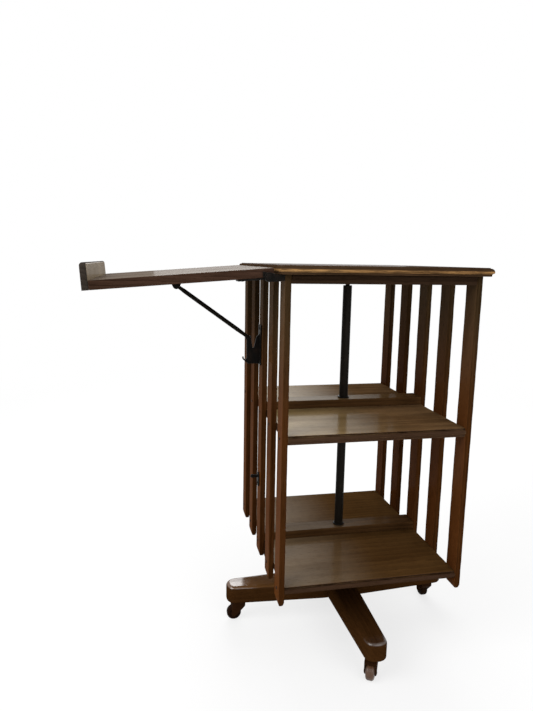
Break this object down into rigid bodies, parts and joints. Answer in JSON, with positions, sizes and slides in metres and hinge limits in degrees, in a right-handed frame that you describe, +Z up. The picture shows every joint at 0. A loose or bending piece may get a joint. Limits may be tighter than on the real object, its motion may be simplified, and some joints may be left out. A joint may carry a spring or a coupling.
{
  "type": "revolving bookcase",
  "caption": "Slatted oak bookcase that turns on a post over a crossed base with castors, with shelves open front and back and a propped folding flap at one side.",
  "frame": {"origin": "on the floor under the axis of the spindle", "axes": "+Z up along the spindle, -Y to the open front, -X to the side with the flap"},
  "size_m": [0.8297, 0.545, 0.84],
  "materials": {
    "oak_slat": "dark oak, waxed, worn edges",
    "oak_shelf": "dark oak, polished, faded by use",
    "oak_top": "dark oak, polished, glossy",
    "oak_dark": "very dark oak, glossy",
    "iron": "black iron, satin",
    "castor_brass": "dull, darkened brass",
    "wheel_wood": "dark hardwood, worn smooth"
  },
  "bodies": {
    "case": {"back_top_rail": "oak_dark", "bottom_batten": "oak_dark", "bottom_book_stop": "oak_shelf", "bottom_collar": "iron", "bottom_shelf": "oak_shelf", "front_top_rail": "oak_dark", "hinge_bracket_front": "iron", "hinge_bracket_rear": "iron", "hinge_pin_front": "iron", "hinge_pin_rear": "iron", "left_slat_1": "oak_slat", "left_slat_2": "oak_slat", "left_slat_3": "oak_slat", "left_slat_4": "oak_slat", "left_slat_5": "oak_slat", "left_top_rail": "oak_dark", "middle_book_stop": "oak_shelf", "middle_collar": "iron", "middle_shelf": "oak_shelf", "pivot_bush": "castor_brass", "rest_peg": "iron", "right_slat_1": "oak_slat", "right_slat_2": "oak_slat", "right_slat_3": "oak_slat", "right_slat_4": "oak_slat", "right_slat_5": "oak_slat", "right_top_rail": "oak_dark", "strut_rack": "iron", "top_batten": "oak_dark", "top_board": "oak_top"},
    "base": {"base_arm_cross": "oak_dark", "base_arm_long": "oak_dark", "castor_plate_back": "castor_brass", "castor_plate_front": "castor_brass", "castor_plate_left": "castor_brass", "castor_plate_right": "castor_brass", "spindle": "iron", "spindle_socket": "iron", "thrust_washer": "castor_brass"},
    "castor_back": {"castor_axle_back": "castor_brass", "castor_horn_back": "castor_brass"},
    "castor_front": {"castor_axle_front": "castor_brass", "castor_horn_front": "castor_brass"},
    "castor_left": {"castor_axle_left": "castor_brass", "castor_horn_left": "castor_brass"},
    "castor_right": {"castor_axle_right": "castor_brass", "castor_horn_right": "castor_brass"},
    "castor_wheel_back": {"castor_wheel_back": "wheel_wood"},
    "castor_wheel_front": {"castor_wheel_front": "wheel_wood"},
    "castor_wheel_left": {"castor_wheel_left": "wheel_wood"},
    "castor_wheel_right": {"castor_wheel_right": "wheel_wood"},
    "flap": {"flap_board": "oak_top", "flap_lip": "oak_top", "hinge_leaf_front": "iron", "hinge_leaf_rear": "iron", "lug_pin": "iron", "strut_lug": "iron"},
    "strut": {"strut_rod": "iron"}
  },
  "joints": [
    {"name": "case_turn", "type": "hinge", "parent": "base", "child": "case", "pos_m": [0, 0, 0.1591], "axis": [0, 0, 1], "continuous": true},
    {"name": "flap_fold", "type": "hinge", "parent": "case", "child": "flap", "pos_m": [-0.2273, 0, 0.8177], "axis": [0, -1, 0], "range_deg": [0, 79]},
    {"name": "strut_swing", "type": "hinge", "parent": "flap", "child": "strut", "pos_m": [-0.38379, -0.0046, 0.79234], "axis": [0, -1, 0], "range_deg": [-134, 0]},
    {"name": "castor_swivel_right", "type": "hinge", "parent": "base", "child": "castor_right", "pos_m": [0.2395, 0, 0.0504], "axis": [0, 0, 1], "continuous": true},
    {"name": "castor_roll_right", "type": "hinge", "parent": "castor_right", "child": "castor_wheel_right", "pos_m": [0.2395, 0.015, 0.017], "axis": [-1, 0, 0], "continuous": true},
    {"name": "castor_swivel_back", "type": "hinge", "parent": "base", "child": "castor_back", "pos_m": [0, 0.2395, 0.0504], "axis": [0, 0, 1], "continuous": true},
    {"name": "castor_roll_back", "type": "hinge", "parent": "castor_back", "child": "castor_wheel_back", "pos_m": [0, 0.2545, 0.017], "axis": [-1, 0, 0], "continuous": true},
    {"name": "castor_swivel_left", "type": "hinge", "parent": "base", "child": "castor_left", "pos_m": [-0.2395, 0, 0.0504], "axis": [0, 0, 1], "continuous": true},
    {"name": "castor_roll_left", "type": "hinge", "parent": "castor_left", "child": "castor_wheel_left", "pos_m": [-0.2545, 0, 0.017], "axis": [0, -1, 0], "continuous": true},
    {"name": "castor_swivel_front", "type": "hinge", "parent": "base", "child": "castor_front", "pos_m": [0, -0.2395, 0.0504], "axis": [0, 0, 1], "continuous": true},
    {"name": "castor_roll_front", "type": "hinge", "parent": "castor_front", "child": "castor_wheel_front", "pos_m": [-0.0075, -0.25249, 0.017], "axis": [0.866, -0.5, 0], "continuous": true}
  ],
  "couplings": [
    {"joint": "strut_swing", "follows": "flap_fold", "ratio": -1.6855}
  ]
}
